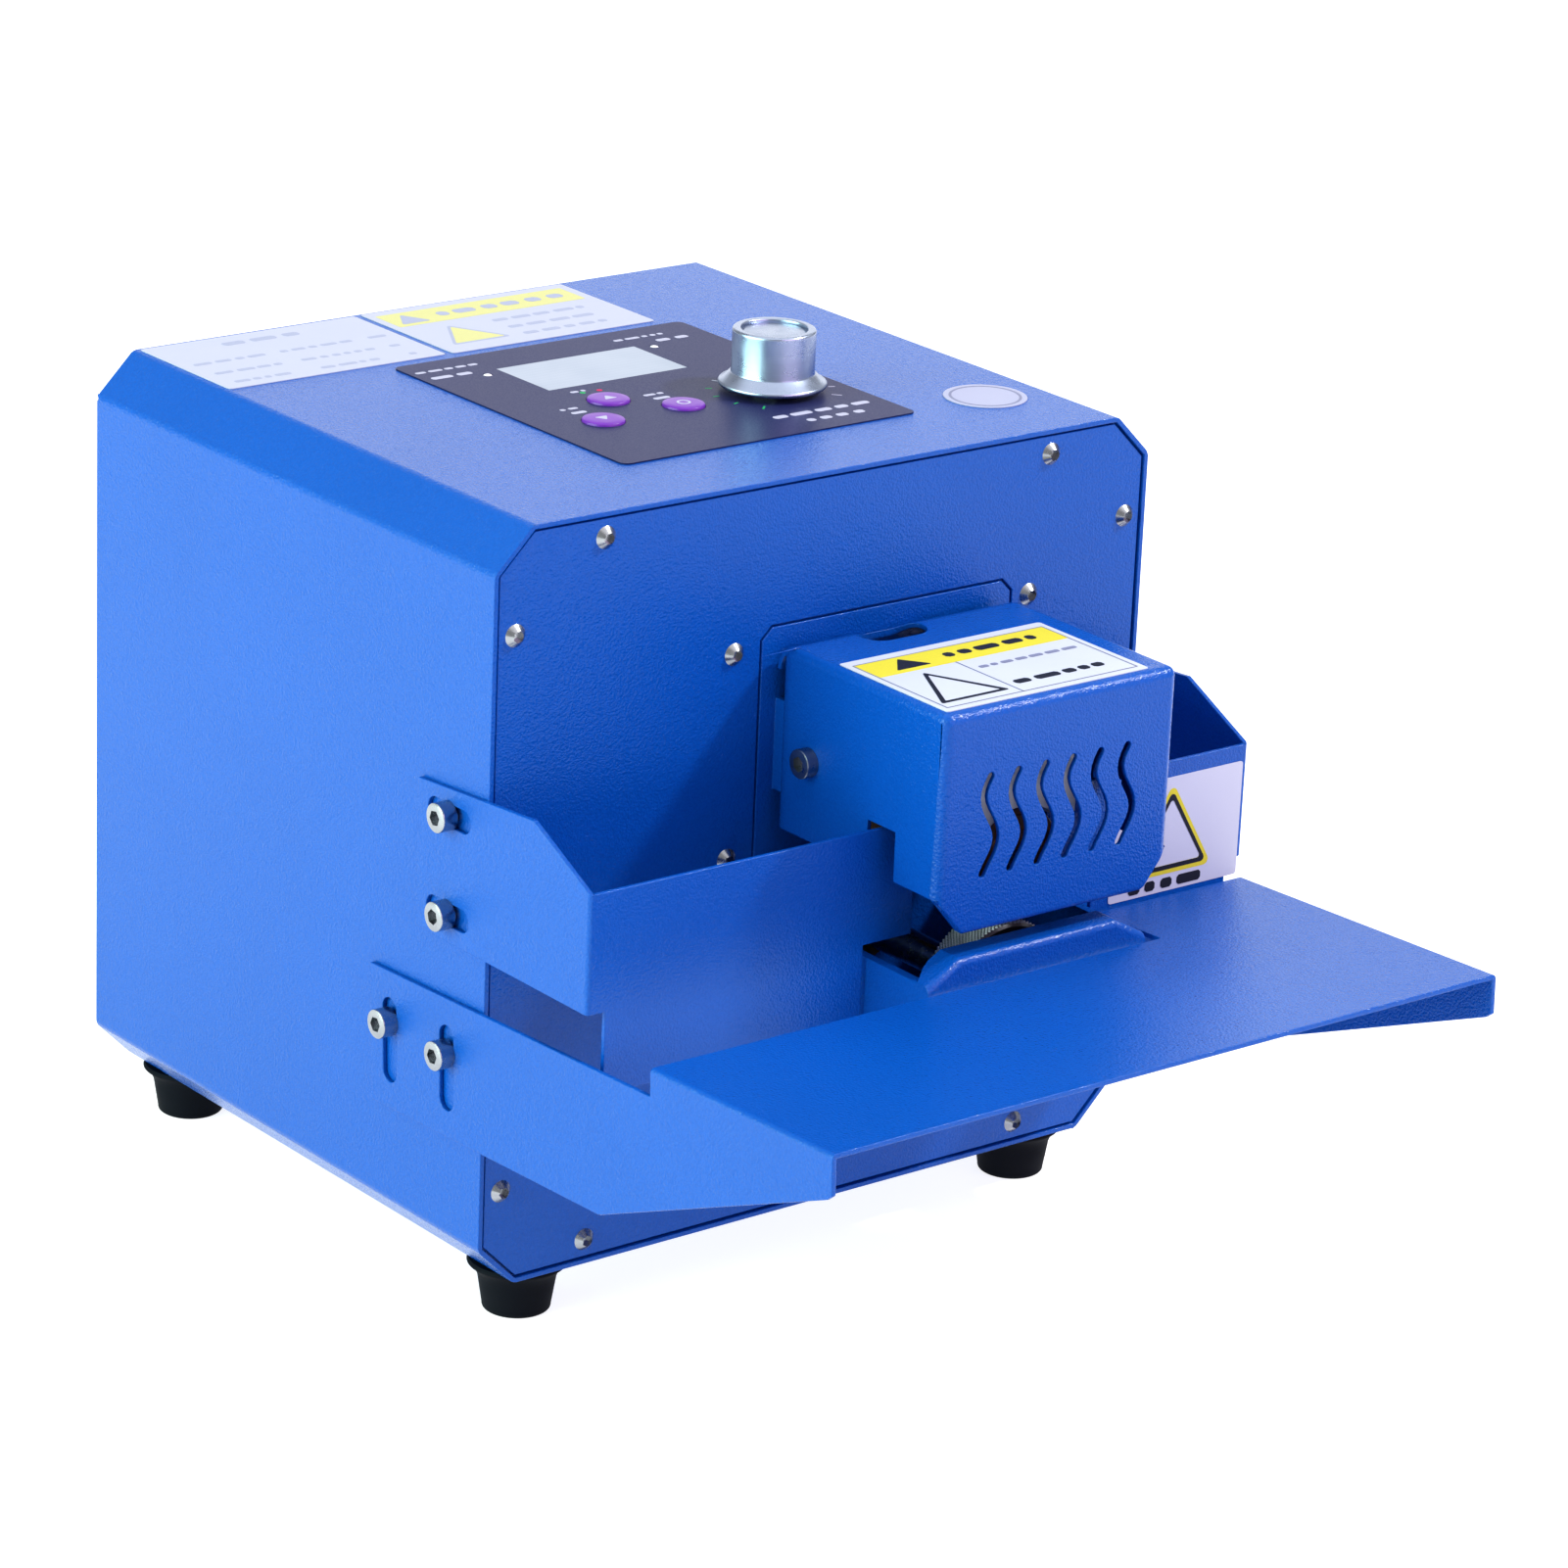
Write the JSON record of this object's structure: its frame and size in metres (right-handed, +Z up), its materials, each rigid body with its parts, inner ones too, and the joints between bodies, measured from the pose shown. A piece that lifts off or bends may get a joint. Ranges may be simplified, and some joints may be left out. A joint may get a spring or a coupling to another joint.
{
  "type": "benchtop rotary film heat sealer",
  "caption": "Sheet-metal film heat sealer: chamfered cabinet, vented sealing head over a knurled drive wheel, U-shaped film guard, adjustable feed table and top control panel.",
  "frame": {"origin": "centre of the whole machine's footprint, on the bench under the rubber feet", "axes": "+Z up, -Y towards the operator and the feed table, +X to the operator's right, the side the film comes from"},
  "size_m": [0.245, 0.3588, 0.2567],
  "materials": {
    "blue_paint": "semi-gloss textured powder coat",
    "zinc_steel": "bright zinc plate",
    "black_steel": "black oxide",
    "spring_steel": "satin",
    "motor_steel": "satin",
    "gear_steel": "machined",
    "wheel_steel": "diamond knurled",
    "bronze": "sintered bronze",
    "raw_aluminium": "machined",
    "knob_aluminium": "turned, clear anodised",
    "ptfe_brown": "brown PTFE-coated glass cloth",
    "black_rubber": "matte",
    "black_plastic": "fine texture",
    "panel_grey": "satin printed film",
    "lcd_grey": "clear window over a grey display",
    "key_purple": "moulded",
    "led_red": "moulded lens",
    "pcb_green": "solder mask",
    "label_white": "printed vinyl"
  },
  "bodies": {
    "cabinet": {"cabinet_shell": "blue_paint", "front_panel": "blue_paint", "rear_panel": "blue_paint", "front_panel_screws": "zinc_steel", "rear_panel_screws": "zinc_steel", "rubber_feet": "black_rubber", "foot_screws": "zinc_steel", "foot_nuts": "zinc_steel", "mechanism_plate": "blue_paint", "mechanism_screws": "zinc_steel", "rear_bearing_plate": "zinc_steel", "bearing_pillars": "zinc_steel", "shaft_bushes": "bronze", "gear_motor": "motor_steel", "heater_block": "raw_aluminium", "cartridge_heater": "zinc_steel", "thermocouple": "zinc_steel", "pressure_spring": "spring_steel", "pressure_saddle": "raw_aluminium", "head_cover": "blue_paint", "head_cover_screws": "black_steel", "head_label": "label_white", "lower_wheel_housing": "blue_paint", "guard_screws": "zinc_steel", "table_screws": "zinc_steel", "control_overlay": "panel_grey", "lcd_window": "lcd_grey", "lcd_module": "pcb_green", "indicator_leds": "led_red", "control_board": "pcb_green", "board_standoffs": "zinc_steel", "potentiometer": "zinc_steel", "potentiometer_nut": "zinc_steel", "top_label_left": "label_white", "top_label_right": "label_white", "round_sticker": "label_white", "power_supply": "raw_aluminium", "supply_standoffs": "zinc_steel", "mains_inlet": "black_plastic", "inlet_pins": "bronze", "inlet_screws": "black_steel", "switch_bezel": "black_plastic"},
    "drive_wheel": {"drive_shaft": "zinc_steel", "knurled_wheel": "wheel_steel", "drive_gear": "gear_steel"},
    "heat_roller": {"heat_shaft": "zinc_steel", "heat_wheel": "ptfe_brown", "heat_gear": "gear_steel"},
    "motor_rotor": {"motor_pinion": "gear_steel", "motor_shaft": "zinc_steel"},
    "guard": {"film_guard": "blue_paint", "guard_label": "label_white"},
    "table": {"feed_table": "blue_paint"},
    "knob": {"temperature_knob": "knob_aluminium", "potentiometer_shaft": "zinc_steel"},
    "up_key": {"key_up": "key_purple"},
    "down_key": {"key_down": "key_purple"},
    "set_key": {"key_set": "key_purple"},
    "pressure_adjuster": {"pressure_screw": "black_steel"},
    "power_rocker": {"switch_rocker": "black_plastic"}
  },
  "joints": [
    {"name": "drive_spin", "type": "hinge", "parent": "cabinet", "child": "drive_wheel", "pos_m": [0.01775, -0.02367, 0.0985], "axis": [0, 1, 0], "continuous": true},
    {"name": "heat_spin", "type": "hinge", "parent": "cabinet", "child": "heat_roller", "pos_m": [0.01775, -0.02367, 0.1369], "axis": [0, 1, 0], "continuous": true},
    {"name": "motor_spin", "type": "hinge", "parent": "cabinet", "child": "motor_rotor", "pos_m": [0.01775, -0.02367, 0.0685], "axis": [0, 1, 0], "continuous": true},
    {"name": "guard_slide", "type": "slide", "parent": "cabinet", "child": "guard", "axis": [0, 1, 0], "range_m": [0, 0.003]},
    {"name": "table_lift", "type": "slide", "parent": "cabinet", "child": "table", "axis": [0, 0.0412, 0.9992], "range_m": [-0.004, 0.0115]},
    {"name": "knob_turn", "type": "hinge", "parent": "cabinet", "child": "knob", "pos_m": [0.0325, 0.04733, 0.2375], "axis": [0, 0, 1], "range_deg": [-150, 150]},
    {"name": "up_key_press", "type": "slide", "parent": "cabinet", "child": "up_key", "axis": [0, 0, -1], "range_m": [0, 0.0008], "stiffness_N_per_m": 400},
    {"name": "down_key_press", "type": "slide", "parent": "cabinet", "child": "down_key", "axis": [0, 0, -1], "range_m": [0, 0.0008], "stiffness_N_per_m": 400},
    {"name": "set_key_press", "type": "slide", "parent": "cabinet", "child": "set_key", "axis": [0, 0, -1], "range_m": [0, 0.0008], "stiffness_N_per_m": 400},
    {"name": "pressure_turn", "type": "hinge", "parent": "cabinet", "child": "pressure_adjuster", "pos_m": [0.015, -0.03467, 0.1655], "axis": [0, 0, 1], "range_deg": [-180, 180]},
    {"name": "rocker_tilt", "type": "hinge", "parent": "cabinet", "child": "power_rocker", "pos_m": [-0.008, 0.17533, 0.0635], "axis": [1, 0, 0], "range_deg": [-18, 0]}
  ],
  "couplings": [
    {"joint": "heat_spin", "follows": "drive_spin", "ratio": -1.2069},
    {"joint": "motor_spin", "follows": "drive_spin", "ratio": -2.3333}
  ]
}
